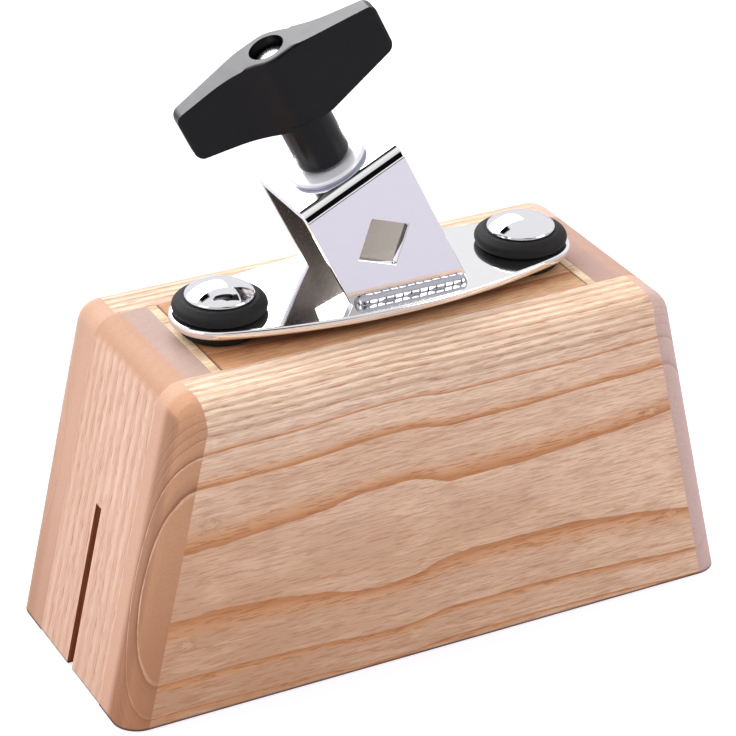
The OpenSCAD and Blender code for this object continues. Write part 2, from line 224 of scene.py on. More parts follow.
def ash(name, heart, bends, rings, slope=0.0, light=(230, 193, 166), band=(216, 154, 106), line=(178, 118, 76),
        fine_from=99.0, end_light=(190, 143, 113), end_line=(160, 113, 86), flat_end=(214, 175, 154),
        right_end_sheen=None, end_lines=0.8, grain=1.0, seed=0.0, painted_shade=None, marks=(), kerf_shade_colour=None, seams=(),
        depth=38, broad=False, board=False):
    """Open-grained wood: rings round a heart line that runs along the fibres.

    heart is the heart line's place across the fibres, bends how that place wanders along them,
    rings the ring count at distances from it, and slope tips the fibres up from the X axis.
    light, band and line are the colours of the wood, of a broad ring and of its sharp edge.
    Rings from fine_from on are faint ones, which darken the wood by depth, and broad widens them.
    end_light, end_line and flat_end colour the cut ends, and end_lines says how clear their arcs are.
    right_end_sheen paints a sheen over the cut ends on the right, where their arcs also fade.
    painted_shade paints shade into one corner, marks are nail spots on both sides, seams are glued
    joints across X, kerf_shade_colour is painted shade inside the saw kerf of an end block, and board
    says that the piece is the front or back one, whose ends are its rounded edges. On a board the top
    is painted lighter and the cut ends darker low on the left, as painted light and shade. Every piece
    gets painted shade along its base edge, and all but the end blocks a painted shadow under the plate.
    """
    s = Shader(name)
    x, y, z = s.millimetres()
    nx, _, nz = s.normal()
    side_x, side_y = s.math("ABSOLUTE", x), s.math("ABSOLUTE", y)
    if slope:
        cos, sin = math.cos(slope), math.sin(slope)
        along = s.add(s.mul(x, cos), s.mul(z, sin))
        over = s.sub(s.mul(z, cos), s.mul(x, sin))
        facing = s.add(s.mul(nx, cos), s.mul(nz, sin))
    else:
        along, over, facing = x, z, nx
    along_seed = s.add(along, seed)
    span, points = bends
    wander = s.curve(s.fit(along, -span, span, smooth=False), points)
    wander = s.mul(s.sub(wander, 0.5), 4.0)
    slow = s.sub(s.noise(s.mul(along_seed, 0.02), s.mul(y, 0.07), s.mul(over, 0.07)), 0.5)
    quick = s.sub(s.noise(s.mul(along_seed, 0.08), s.mul(y, 0.5), s.mul(over, 0.5)), 0.5)
    dy = s.sub(s.sub(y, heart[0]), wander)
    dz = s.sub(over, heart[1])
    far = s.math("SQRT", s.add(s.mul(dy, dy), s.mul(dz, dz)))
    far = s.add(far, s.add(s.mul(slow, 0.7), s.mul(quick, 0.35)))
    low, high, count, table = rings
    index = s.mul(s.curve(s.fit(far, low, high, smooth=False), table, "VECTOR"), count)
    phase = s.math("FRACT", index)
    fine = s.fit(index, fine_from - 0.1, fine_from + 0.1)
    width = s.noise(s.mul(along_seed, 0.016), s.math("FLOOR", index), 0.0, 1.0)
    stretched = s.mul(phase, s.fit(width, 0.3, 0.7, 1.5, 0.85))
    porous = s.ramp(stretched, [(0.0, 0.55), (0.012, 1.0), (0.09, 0.85), (0.2, 0.5), (0.36, 0.0), (1.0, 0.0)])
    sharp = s.ramp(phase, [(0.0, 0.0), (0.006, 1.0), (0.04, 0.8), (0.11, 0.0), (1.0, 0.0)])
    if broad:
        soft = s.ramp(phase, [(0.0, 0.1), (0.2, 1.0), (0.45, 0.9), (0.7, 0.0), (0.95, 0.0), (1.0, 0.1)])
    else:
        soft = s.ramp(phase, [(0.0, 0.2), (0.12, 1.0), (0.36, 0.7), (0.6, 0.0), (0.92, 0.0), (1.0, 0.2)])

    # Where the fibres' ends show: on a board inside its round-over, and else where the face looks along them
    facing = s.math("ABSOLUTE", facing)
    if board:
        inset = s.sub(s.mul(s.sub(HALF_BASE, side_x), math.cos(END_SLOPE)), s.mul(z, math.sin(END_SLOPE)))
        inset = s.add(inset, s.mul(nz, ROUND_OVER * math.sin(END_SLOPE)))
        end = s.fit(inset, ROUND_OVER + 0.05, ROUND_OVER - 0.35)
    else:
        end = s.fit(facing, 0.04, 0.45)
    flat = s.fit(facing, 0.8, 0.96)
    if kerf_shade_colour:
        flat = s.mul(flat, s.fit(side_x, 63.8, 60.6))

    # Noise for the long grain
    streak = s.noise(s.mul(along_seed, 0.05), s.mul(far, 1.2), s.mul(y, 0.05), 3.0, 0.62)
    plain = s.noise(s.mul(along_seed, 0.05), s.mul(y, 1.5), s.mul(over, 1.5), 3.0, 0.6)
    thread = s.noise(s.mul(along_seed, 0.16), s.mul(y, 2.8), s.mul(over, 2.8), 2.0, 0.6)
    pores = s.fit(s.noise(s.mul(along_seed, 0.2), s.mul(y, 2.4), s.mul(over, 2.4), 1.0), 0.56, 0.64)
    pores = s.mul(pores, s.fit(porous, 0.0, 0.7, 0.55, 1.0))
    cloud = s.noise(s.mul(along_seed, 0.014), s.mul(y, 0.05), s.mul(over, 0.05), 1.0)
    blotch = s.noise(s.mul(along_seed, 0.07), s.mul(y, 0.25), s.mul(over, 0.25), 2.0)

    # Long grain
    colour = s.mix(s.fit(cloud, 0.35, 0.65), srgb(light[0] + 4, light[1] + 4, light[2] + 2),
                   srgb(light[0] - 4, light[1] - 6, light[2] - 11))
    colour = s.mix(s.mul(s.fit(blotch, 0.4, 0.7), 0.25), colour, srgb(light[0] - 6, light[1] - 14, light[2] - 8))
    # Painted shade: darker towards one corner, as the light falls off across the piece
    if painted_shade:
        (from_x, from_z), (reach_x, reach_z), tint = painted_shade
        amount = s.mul(s.fit(x, from_x, from_x + reach_x, 1.0, 0.0), s.fit(z, from_z, from_z + reach_z, 1.0, 0.0))
        colour = s.mix(amount, colour, srgb(*tint))
    if board:
        # Painted light: the board's upper part paler where the lamp above lights it, less so to the right
        painted_top_light = s.mul(s.fit(z, 66.0, 86.0, 0.0, 0.95), s.fit(x, 15.0, 70.0, 1.0, 0.4))
        colour = s.mix(painted_top_light, colour, srgb(255, 230, 206))
    colour = s.mix(s.mul(s.fit(streak, 0.45, 0.62), 0.3 * grain), colour, srgb(*darker(light, 34)))
    colour = s.mix(s.mul(s.fit(streak, 0.5, 0.36), 0.25 * grain), colour,
                   srgb(light[0] + 12, light[1] + 14, light[2] + 14))
    colour = s.mix(s.mul(s.fit(plain, 0.46, 0.64), 0.36 * grain), colour, srgb(*darker(light, 40)))
    colour = s.mix(s.mul(s.fit(thread, 0.5, 0.64), 0.5 * grain), colour, srgb(*darker(light, 44)))
    bold = s.sub(1.0, fine)
    colour = s.mix(s.mul(bold, s.mul(porous, 0.95)), colour, srgb(*band))
    colour = s.mix(s.mul(bold, s.mul(sharp, 0.5)), colour, srgb(*line))
    thin = s.mul(fine, s.mul(soft, s.fit(cloud, 0.3, 0.7, 0.75, 1.0)))
    colour = s.mix(thin, colour, srgb(*darker(light, depth)))
    colour = s.mix(s.mul(pores, 0.6), colour, srgb(*darker(band, 34)))

    # End grain
    cut = s.noise(s.mul(x, 1.6), s.mul(y, 2.6), s.mul(z, 2.6), 3.0, 0.6)
    end_base = s.mix(flat, srgb(*end_light), srgb(*flat_end))
    # Painted sheen: the right-hand cut ends paler and greyer, where the finish reflects the bright room at a grazing
    # angle
    if right_end_sheen:
        end_base = s.mix(s.fit(x, -4.0, 4.0), end_base, srgb(*right_end_sheen))
    bright = s.ramp(phase, [(0.0, 0.0), (0.88, 0.0), (0.94, 1.0), (0.98, 1.0), (1.0, 0.0)])
    cut_line = s.ramp(phase, [(0.0, 1.0), (0.05, 1.0), (0.15, 0.4), (0.5, 0.0), (1.0, 0.0)])
    # The arcs fade on the right-hand ends under the painted sheen, and on faint rings
    clear = s.mul(s.fit(x, -4.0, 4.0, end_lines, end_lines * 0.4), s.fit(fine, 0.0, 1.0, 1.0, 0.5))
    worn = s.noise(s.mul(x, 0.25), s.mul(y, 0.25), s.mul(z, 0.14), 2.0)
    bright = s.mul(bright, s.fit(worn, 0.36, 0.62, 0.3, 1.0))
    if broad:
        bright = s.mul(bright, 0.2)
    else:
        clear = s.mul(clear, s.mul(s.fit(index, 1.76, 1.84), s.fit(index, 5.5, 8.0, 1.0, 0.1)))
    if board:
        clear = s.mul(clear, s.fit(z, 8.0, 32.0, 0.35, 1.0))
        # Painted shade: a board's cut ends darker low down on the left
        low = s.mul(s.fit(z, 60.0, 0.0, 0.0, 0.5), s.fit(x, -30.0, 30.0, 1.0, 0.0))
        end_base = s.mix(low, end_base, srgb(*darker(end_light, 50)))
        inner = s.fit(side_y, 27.6, 23.8)
        clear = s.mul(clear, s.sub(1.0, inner))
        end_base = s.mix(s.mul(inner, 0.85 if end_lines > 0.5 else 0.3), end_base, srgb(221, 178, 153))
    end_colour = s.mix(s.mul(bright, clear), end_base, srgb(236, 196, 166))
    end_colour = s.mix(s.mul(cut_line, clear), end_colour, srgb(*end_line))
    end_colour = s.mix(s.mul(s.fit(cut, 0.45, 0.75), 0.3), end_colour, srgb(*darker(end_light, 30)))
    colour = s.mix(end, colour, end_colour)

    # Nail spots, painted shade inside the kerf, seams, the painted shadow under the plate, and painted shade along
    # the base edge
    for place_x, place_z in marks:
        ex = s.mul(s.sub(side_x, place_x), 1 / 2.6)
        ez = s.mul(s.sub(z, place_z), 1 / 1.5)
        ragged = s.noise(s.mul(x, 0.9), s.mul(z, 2.0), 3.0, 2.0, 0.7)
        near = s.add(s.math("SQRT", s.add(s.mul(ex, ex), s.mul(ez, ez))), s.mul(s.sub(ragged, 0.5), 2.8))
        rim = s.ramp(s.mul(near, 0.5), [(0.0, 0.0), (0.26, 0.0), (0.42, 1.0), (0.5, 0.9), (0.62, 0.0), (1.0, 0.0)])
        plug = s.ramp(s.mul(near, 0.5), [(0.0, 1.0), (0.3, 0.9), (0.42, 0.0), (1.0, 0.0)])
        colour = s.mix(s.mul(plug, 0.22), colour, srgb(240, 206, 172))
        colour = s.mix(s.mul(rim, 0.32), colour, srgb(158, 112, 80))
    if kerf_shade_colour:
        # Painted shade inside the saw kerf, dark brown with a little grain
        inside = s.mul(s.fit(side_y, KERF_HALF + 0.06, KERF_HALF + 0.03), s.fit(z, KERF_TOP + 0.4, KERF_TOP + 0.1))
        kerf_shade = s.mix(s.fit(plain, 0.35, 0.65), srgb(*kerf_shade_colour), srgb(*darker(kerf_shade_colour, 26)))
        colour = s.mix(inside, colour, kerf_shade)
    for seam in seams:
        gap = s.math("ABSOLUTE", s.sub(side_x, seam))
        colour = s.mix(s.fit(gap, 0.9, 0.15, 0.0, 0.75), colour, srgb(96, 64, 42))
    if not kerf_shade_colour:
        # Painted shadow under the plate, deeper with the millimetres inside its outline, which is two long bows
        # between round ends
        half_width, bow, bow_end, end_centre, end_radius = 19.8, 315.4, 47.4, 43.5, 13.1
        within = s.sub(s.sub(half_width, s.mul(s.mul(x, x), 1 / bow)), side_y)
        within = s.math("MINIMUM", within, s.sub(bow_end, side_x))
        past = s.sub(side_x, end_centre)
        round_end = s.sub(end_radius, s.math("SQRT", s.add(s.mul(past, past), s.mul(y, y))))
        within = s.math("MAXIMUM", within, round_end)
        under = s.mul(s.fit(within, 1.6, 5.6, 0.0, 0.5), s.fit(z, BLOCK_TOP - 1.0, BLOCK_TOP - 0.5))
        colour = s.mix(under, colour, srgb(60, 34, 20))
    # Painted shade along the base edge, where the block sits on the floor
    colour = s.mix(s.fit(z, 0.75, 0.3, 0.0, 0.85), colour, srgb(62, 46, 46))

    rough = s.add(0.5, s.mul(s.add(pores, plain), 0.12))
    height = s.sub(s.mul(thread, 0.25), s.add(s.mul(pores, 0.8), s.mul(s.mul(porous, s.sub(1.0, end)), 0.25)))
    s.bump(height, 0.00008, 0.7)
    s.set(Base_Color=colour, Roughness=rough)
    s.bsdf.inputs["Specular IOR Level"].default_value = 0.25
    return s.material


def chrome(name, tint=(0.955, 0.955, 0.965), rough=0.04, ripple=0.25, strap=False, nut=False):
    """Bright plating over stamped metal, a little uneven.

    strap paints shade and the wood's brown reflection onto the inner faces of the bent strap, and nut
    gives the nut a paler, less metallic skin, with painted blue-grey shade on its rim.
    """
    s = Shader(name)
    x, y, z = s.millimetres()
    film = s.noise(s.mul(x, 0.35), s.mul(y, 0.35), s.mul(z, 0.35), 3.0)
    fine = s.noise(s.mul(x, 3.0), s.mul(y, 3.0), s.mul(z, 3.0), 2.0)
    colour = s.mix(film, (*tint, 1.0), (tint[0] * 0.97, tint[1] * 0.97, tint[2] * 0.98, 1.0))
    rough = s.add(rough, s.mul(s.fit(fine, 0.5, 0.8), 0.05))
    height = s.up_the_clamp(x, z)
    if nut:
        flange_top = 39.0
        # Painted blue-grey shade on the rim, below the flange's top
        colour = s.mix(s.fit(height, flange_top, flange_top - 0.4), colour, (0.34, 0.36, 0.46, 1.0))
    if strap:
        # Painted shade and the wood's brown reflection on the strap's inner faces
        inside = s.mul(s.fit(s.math("ABSOLUTE", y), LEG_INSIDE + 0.3, LEG_INSIDE),
                       s.fit(height, SHEET_INSIDE + 0.6, SHEET_INSIDE))
        painted_inner_shade = s.mix(s.fit(height, 1.0, 34.0), (0.26, 0.235, 0.215, 1.0), (0.24, 0.215, 0.2, 1.0))
        colour = s.mix(inside, colour, painted_inner_shade)
        rough = s.add(rough, s.mul(inside, 0.20))
    s.set(Base_Color=colour, Roughness=rough)
    s.bsdf.inputs["Metallic"].default_value = 0.15 if nut else 1.0
    s.bump(film, 0.00002 * ripple, 0.4)
    return s.material


def steel(name, tint, rough):
    """Plain plated or turned steel with fine turning marks."""
    s = Shader(name)
    x, y, z = s.millimetres()
    marks = s.noise(s.mul(x, 0.8), s.mul(y, 0.8), s.mul(z, 2.5), 2.0)
    s.set(Base_Color=s.mix(marks, tint, (tint[0] * 0.8, tint[1] * 0.8, tint[2] * 0.8, 1.0)),
          Roughness=s.add(rough, s.mul(marks, 0.15)))
    s.bsdf.inputs["Metallic"].default_value = 1.0
    s.bump(marks, 0.000004, 0.2)
    return s.material


def rubber(name):
    """Moulded rubber: matte, with faint dust and pits."""
    s = Shader(name)
    x, y, z = s.millimetres()
    pits = s.noise(s.mul(x, 2.2), s.mul(y, 2.2), s.mul(z, 2.2), 4.0, 0.65)
    dust = s.noise(s.mul(x, 0.3), s.mul(y, 0.3), s.mul(z, 0.3), 3.0)
    colour = s.mix(s.fit(dust, 0.35, 0.7), srgb(10, 10, 13), srgb(17, 17, 21))
    s.set(Base_Color=s.mix(s.mul(s.fit(pits, 0.5, 0.75), 0.5), colour, srgb(8, 8, 10)),
          Roughness=s.add(0.58, s.mul(pits, 0.2)))
    s.bsdf.inputs["Specular IOR Level"].default_value = 0.35
    s.bump(pits, 0.00008, 0.6)
    return s.material


def black_plastic(name):
    """Moulded black plastic with a satin skin and faint scuffs, and a painted grey sheen on the crown's top face."""
    s = Shader(name)
    x, y, z = s.millimetres()
    skin = s.noise(s.mul(x, 5.0), s.mul(y, 5.0), s.mul(z, 5.0), 3.0, 0.6)
    scuff = s.noise(s.mul(x, 0.22), s.mul(y, 0.22), s.mul(z, 0.22), 4.0, 0.6)
    height = s.up_the_clamp(x, z)
    across = s.add(s.mul(s.sub(x, FOOT_X), ACROSS.x), s.mul(s.sub(z, PLATE_TOP), ACROSS.z))
    off_axis = s.math("SQRT", s.add(s.mul(across, across), s.mul(y, y)))
    nx, _, nz = s.normal()
    upward = s.add(s.mul(nx, AXIS.x), s.mul(nz, AXIS.z))
    # Painted sheen: the crown's top face grey, where light from above glances off the black plastic
    crown = s.mul(s.mul(s.fit(height, 64.0, 66.0), s.fit(upward, 0.72, 0.92)), s.fit(off_axis, 4.6, 4.8))
    black = s.mix(s.fit(scuff, 0.4, 0.75), srgb(4, 4, 6), srgb(8, 8, 11))
    s.set(Base_Color=s.mix(crown, black, srgb(92, 92, 97)),
          Roughness=s.add(0.24, s.add(s.mul(skin, 0.1), s.mul(s.fit(scuff, 0.45, 0.8), 0.1))))
    s.bsdf.inputs["Specular IOR Level"].default_value = 0.28
    s.bump(skin, 0.00003, 0.5)
    return s.material


# Distances of the boards' rings from their heart lines, which lie about 60 mm outside their faces
RING_AT = (56.0, 61.3, 66.2, 70.5, 72.8, 74.4, 76.1, 78.0, 80.1, 82.3, 84.6, 87.0, 89.6, 93.0)
LAST_RING = len(RING_AT) - 1
FLAT_RINGS = (RING_AT[0], RING_AT[-1], float(LAST_RING),
              [((far - RING_AT[0]) / (RING_AT[-1] - RING_AT[0]), i / LAST_RING) for i, far in enumerate(RING_AT)])
# How far a heart line lies from its face at places along the board, as curves over -SPAN to SPAN
SPAN = 90.0
BEND_AT = ((-90, 60.7), (-71, 60.63), (-38, 60.3), (-12, 59.5), (6.6, 60.3),
           (32, 60.2), (60, 59.7), (73, 59.2), (90, 58.9))
EDGE_BENDS, BACK_BENDS = (
    (SPAN, [((at + SPAN) / (2 * SPAN), 0.5 + side * (60.0 - depth) / 4.0) for at, depth in BEND_AT])
    for side in (1, -1)
)
# A heart line that hardly wanders, and rings that lie almost evenly
STILL = (SPAN, [(0.0, 0.5), (0.4, 0.55), (0.7, 0.45), (1.0, 0.5)])
EVEN = [(0.0, 0.0), (0.35, 0.36), (0.7, 0.68), (1.0, 1.0)]
# Nail spots on each half of a board, along X and up
MARKS = ((63.5, 55.0), (71.0, 22.0))

ash_front = ash("ash_front", (-96.0, 39.0), EDGE_BENDS, FLAT_RINGS, fine_from=3.7, light=(243, 209, 182),
                end_light=(205, 154, 119), end_line=(130, 86, 60), flat_end=(168, 124, 95), right_end_sheen=(208, 180, 172),
                end_lines=0.8, painted_shade=((-100.0, -10.0), (210.0, 110.0), (198, 150, 112)), marks=MARKS, depth=35,
                board=True)
ash_back = ash("ash_back", (96.0, 45.0), BACK_BENDS, FLAT_RINGS, fine_from=3.7, light=(243, 209, 182),
               end_light=(208, 166, 140), flat_end=(208, 166, 140), right_end_sheen=(228, 196, 184), end_lines=0.3,
               marks=MARKS, seed=700.0, board=True)
ash_left = ash("ash_left", (-150.0, 12.0), STILL, (100.0, 204.0, 29.0, EVEN), slope=math.pi / 2 - END_SLOPE,
               light=(233, 196, 173), fine_from=0.0, end_light=(200, 155, 127), end_line=(182, 134, 104), broad=True,
               flat_end=(192, 164, 154), end_lines=0.2, grain=0.4, depth=24, seed=200.0, kerf_shade_colour=(172, 110, 74),
               painted_shade=((-60.0, -20.0), (20.0, 110.0), (222, 184, 160)))
ash_right = ash("ash_right", (-150.0, -12.0), STILL, (100.0, 200.0, 17.0, EVEN), slope=math.pi / 2 + END_SLOPE,
                light=(234, 196, 172), fine_from=0.0, end_light=(196, 158, 142), end_line=(170, 130, 112), broad=True,
                flat_end=(186, 152, 142), end_lines=0.5, grain=0.6, depth=26, seed=400.0, kerf_shade_colour=(165, 105, 70))
ash_top = ash("ash_top", (8.0, 30.0), STILL, (10.0, 90.0, 16.0, EVEN), light=(230, 184, 146), band=(190, 132, 92),
              line=(160, 104, 70), end_light=(180, 128, 92), end_line=(140, 92, 62), seed=900.0, seams=(52.5,),
              painted_shade=((-60.0, 0.0), (100.0, 200.0), (192, 124, 76)))
ash_rail = ash("ash_rail", (6.0, -30.0), STILL, (10.0, 90.0, 14.0, EVEN), light=(222, 180, 146), seed=1300.0)
pale = ash("pale_strip", (0.0, 160.0), STILL, (40.0, 140.0, 60.0, EVEN), light=(248, 224, 192), fine_from=0.0,
           end_light=(240, 210, 170), end_line=(222, 188, 146), grain=0.35, seed=60.0)
chrome_plate = chrome("chrome_plate")
chrome_strap = chrome("chrome_strap", strap=True)
chrome_weld = chrome("chrome_weld", (0.5, 0.505, 0.56), 0.1)
chrome_dome = chrome("chrome_dome", (0.88, 0.88, 0.91), rough=0.03, ripple=0.1)
chrome_nut = chrome("chrome_nut", (0.88, 0.89, 0.93), 0.24, 0.02, nut=True)
zinc = steel("zinc_steel", (0.55, 0.56, 0.58, 1.0), 0.32)
bright = steel("bright_steel", (0.72, 0.72, 0.74, 1.0), 0.2)
black_rubber = rubber("black_rubber")
plastic = black_plastic("black_plastic")


def placed(name, data):
    """A new object in the scene."""
    obj = bpy.data.objects.new(name, data)
    bpy.context.scene.collection.objects.link(obj)
    return obj


def clean_mesh(name):
    """A bmesh of a CAD node with shared corners and whole flat faces."""
    data = nodes[name].data
    bm = bmesh.new()
    corners = [bm.verts.new(v.co) for v in data.vertices]
    for polygon in data.polygons:
        try:
            bm.faces.new([corners[i] for i in polygon.vertices])
        except ValueError:
            pass
    bmesh.ops.remove_doubles(bm, verts=bm.verts[:], dist=2e-6)
    bmesh.ops.dissolve_limit(bm, angle_limit=math.radians(0.3), verts=bm.verts[:], edges=bm.edges[:])
    bmesh.ops.recalc_face_normals(bm, faces=bm.faces[:])
    bm.normal_update()
    return bm


def finish_mesh(bm, piece, material, body, covers, sharp=38.0):
    """Turns a bmesh into a piece that rides on a body and stands for its CAD nodes."""
    bm.normal_update()
    for face in bm.faces:
        face.smooth = True
    for edge in bm.edges:
        if len(edge.link_faces) == 2:
            edge.smooth = edge.calc_face_angle(0.0) < math.radians(sharp)
    mesh = bpy.data.meshes.new(piece)
    bm.to_mesh(mesh)
    bm.free()
    obj = placed(piece, mesh)
    mesh.materials.append(material)
    weighted = obj.modifiers.new("weighted", "WEIGHTED_NORMAL")
    weighted.keep_sharp = True
    weighted.weight = 60
    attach(obj, body)
    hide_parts(*covers)


def bevel(bm, width, rule, segments, angle=33.0, clamp=True):
    """Rounds the edges that the rule picks among those sharper than an angle."""
    chosen = [
        e for e in bm.edges
        if len(e.link_faces) == 2 and e.calc_face_angle(0.0) > math.radians(angle) and rule(e)
    ]
    if chosen:
        bmesh.ops.bevel(bm, geom=chosen, offset=width * MM, offset_type="OFFSET", segments=segments,
                        profile=0.5, affect="EDGES", clamp_overlap=clamp)


def middle(edge):
    """The edge's middle, in millimetres."""
    return (edge.verts[0].co + edge.verts[1].co) / (2 * MM)


def every(edge):
    """A rule that leaves no edge out."""
    return True


def above(level):
    """A rule for the edges above a level."""
    return lambda edge: middle(edge).z > level


def outer_rim(above_height, beyond):
    """A rule for edges high up the clamp's axis and well away from it."""
    def rule(edge):
        spot = middle(edge) - FOOT / MM
        height = spot.dot(AXIS)
        return height > above_height and (spot - AXIS * height).length > beyond
    return rule


def all_but(rule):
    """The rule for the edges that another rule leaves."""
    return lambda edge: not rule(edge)


def ball_corners(bm, side):
    """Turns the mitres where three round-overs meet into round corners.

    Cuts every 15 degrees give the corner enough points, which are then drawn in to a ball.
    """
    sin, cos = math.sin(END_SLOPE), math.cos(END_SLOPE)
    radius = ROUND_OVER
    level = BLOCK_TOP - radius
    reach = (HALF_BASE * cos - radius - level * sin) / cos
    for end in (-1, 1):
        out = (Vector((end * cos, 0.0, sin)), Vector((0.0, side, 0.0)), Vector((0.0, 0.0, 1.0)))
        centre = Vector((end * reach, side * (HALF_DEPTH - radius), level))
        rise = Vector((-end * sin, 0.0, cos))
        for axis in (Vector((end, 0.0, 0.0)), rise, Vector((0.0, side, 0.0))):
            for step in range(6):
                spot = centre + axis * radius * math.sin(math.radians(15.0 * step))
                bmesh.ops.bisect_plane(bm, geom=bm.verts[:] + bm.edges[:] + bm.faces[:], dist=1e-7,
                                       plane_co=spot * MM, plane_no=axis)
        shares = Matrix(out).transposed().inverted()
        for vert in bm.verts:
            away = vert.co / MM - centre
            if min(shares @ away) > 0.02 and away.length > radius * 0.98:
                vert.co = (centre + away.normalized() * radius) * MM
    bm.normal_update()


def softened(name, piece, material, steps, body="block"):
    """Puts a piece in a CAD node's place, with its hard edges rounded as the real one's are."""
    bm = clean_mesh(name)
    if name in ("front_board", "back_board"):
        ball_corners(bm, -1.0 if name == "front_board" else 1.0)
    for step in steps:
        bevel(bm, *step)
    finish_mesh(bm, piece, material, body, (name,))


def underside(edge):
    """A rule for the outer edges of the block's base, which the sander has broken."""
    place = middle(edge)
    level = abs(edge.verts[0].co.z - edge.verts[1].co.z) < 1e-5
    outer = abs(place.y) > HALF_DEPTH - 0.1 or abs(place.x) > 80.0
    return level and place.z < 0.05 and outer


WOOD = {
    "front_board": (ash_front, "ash_face"),
    "back_board": (ash_back, "ash_face"),
    "left_end_block": (ash_left, "ash_end"),
    "right_end_block": (ash_right, "ash_end"),
    "top_board": (ash_top, "ash_top"),
    "left_strip": (pale, "pale_wood"),
    "right_strip": (pale, "pale_wood"),
    "front_bottom_rail": (ash_rail, "ash_top"),
    "back_bottom_rail": (ash_rail, "ash_top"),
}
for name, (material, slot) in WOOD.items():
    softened(name, "wood_" + name, material, [(0.5, underside, 3), (0.09, above(0.7), 1)])

# Each board's fillers carry that board's grain. The nails and the inner metal stay as they are in the CAD.
for piece, material, side in (("fillers_front", ash_front, -1), ("fillers_back", ash_back, 1)):
    bm = clean_mesh("nail_fillers")
    bmesh.ops.delete(bm, geom=[v for v in bm.verts if v.co.y * side < 0], context="VERTS")
    finish_mesh(bm, piece, material, "block", ("nail_fillers",))
for name in ("board_nails", "left_sleeve", "right_sleeve", "left_tee_nut", "right_tee_nut"):
    nodes[name].data.materials.clear()
    nodes[name].data.materials.append(zinc)

flange_rim = outer_rim(39.3, 7.0)
crown_rim = outer_rim(75.5, 5.2)  # without the recess in the crown
softened("mount_plate", "plate", chrome_plate, [(0.75, every, 4)])
softened("clamp_strap", "strap", chrome_strap, [(0.32, above(PLATE_TOP + 0.2), 3)])
softened("clamp_nut", "nut", chrome_nut, [(1.1, flange_rim, 6), (0.2, all_but(flange_rim), 2)])
for side in ("left", "right"):
    softened(side + "_dome_bolt", side + "_dome", chrome_dome, [(0.35, every, 3)])
    softened(side + "_grommet", side + "_rubber", black_rubber, [(0.3, every, 3)])
softened("wing_handle", "handle", plastic,
         [(0.9, crown_rim, 5, 20.0, False), (0.3, all_but(crown_rim), 2)], body="handle")


def loft(bm, rows):
    """Joins rows of points, each closed in itself, and caps the first and the last."""
    for a, b in zip(rows, rows[1:]):
        for j in range(len(a)):
            k = (j + 1) % len(a)
            bm.faces.new([a[j], a[k], b[k], b[j]])
    bm.faces.new(rows[0][::-1])
    bm.faces.new(rows[-1])
    bmesh.ops.recalc_face_normals(bm, faces=bm.faces[:])


def weld_row(piece, side):
    """A hand-laid bead: overlapping crescents along the foot of one leg.

    Each row of points is a quarter round in the corner between leg and plate, with its centre there.
    """
    length, reach, pitch = 31.6, 2.5, 2.4
    steps, turns = 240, 14
    bm = bmesh.new()
    rows = []
    for i in range(steps + 1):
        share = i / steps
        x = FOOT_X + (share - 0.5) * length
        cap = min(1.0, math.sqrt(max(0.0, 1.0 - (2.0 * abs(share - 0.5)) ** 24)) + 0.02)
        row = []
        for j in range(turns + 1):
            angle = math.pi / 2 * j / turns
            lag = 0.55 * math.sin(2.0 * angle)
            wave = (x / pitch - lag / pitch) % 1.0
            ridge = 0.94 + 0.045 * (1.0 - wave) ** 1.3 + 0.015 * math.sin(x * 0.9 + 3.0 * side)
            radius = reach * ridge * cap
            row.append(bm.verts.new(Vector((
                x, side * (LEG_OUTSIDE + radius * math.cos(angle)), PLATE_TOP + radius * math.sin(angle),
            )) * MM))
        row.append(bm.verts.new(Vector((x, side * LEG_OUTSIDE, PLATE_TOP)) * MM))
        rows.append(row)
    loft(bm, rows)
    finish_mesh(bm, piece, chrome_weld, "block", ("weld_beads",), 50.0)


weld_row("weld_front", -1)
weld_row("weld_back", 1)


def thread_stud():
    """The stud with a real thread, from its tapered tip to its domed head in the handle."""
    base, top, outer, pitch, depth = 21.9, 71.7, 3.95, 1.25, 0.62
    thread_end, tip_length, tip_inset = 46.0, 0.9, 0.75
    head = ((4.2, top), (4.2, 72.5), (4.0, 73.05), (3.2, 73.55), (1.9, 73.85), (0.5, 73.97))
    turns, per_turn = 72, 10
    bm = bmesh.new()

    def ring(height, radii):
        """Points round the clamp's axis, one for each radius."""
        row = []
        for j, radius in enumerate(radii):
            angle = 2 * math.pi * j / turns
            spot = FOOT + AXIS * height * MM
            spot = spot + ACROSS * radius * math.cos(angle) * MM + Vector((0, radius * math.sin(angle), 0)) * MM
            row.append(bm.verts.new(spot))
        return row

    rows = []
    count = int((top - base) / pitch * per_turn)
    for i in range(count + 1):
        height = base + (top - base) * i / count
        shaft = outer - tip_inset * (1.0 - min(1.0, (height - base) / tip_length))
        radii = []
        for j in range(turns):
            tooth = abs(2.0 * ((height / pitch - j / turns) % 1.0) - 1.0)
            groove = min(1.0, max(0.0, 1.25 * tooth - 0.1)) if height < thread_end else 0.0
            radii.append(shaft - depth * groove)
        rows.append(ring(height, radii))
    for radius, height in head:
        rows.append(ring(height, [radius] * turns))
    loft(bm, rows)
    finish_mesh(bm, "stud", bright, "stud", ("wing_stud",), 50.0)


thread_stud()

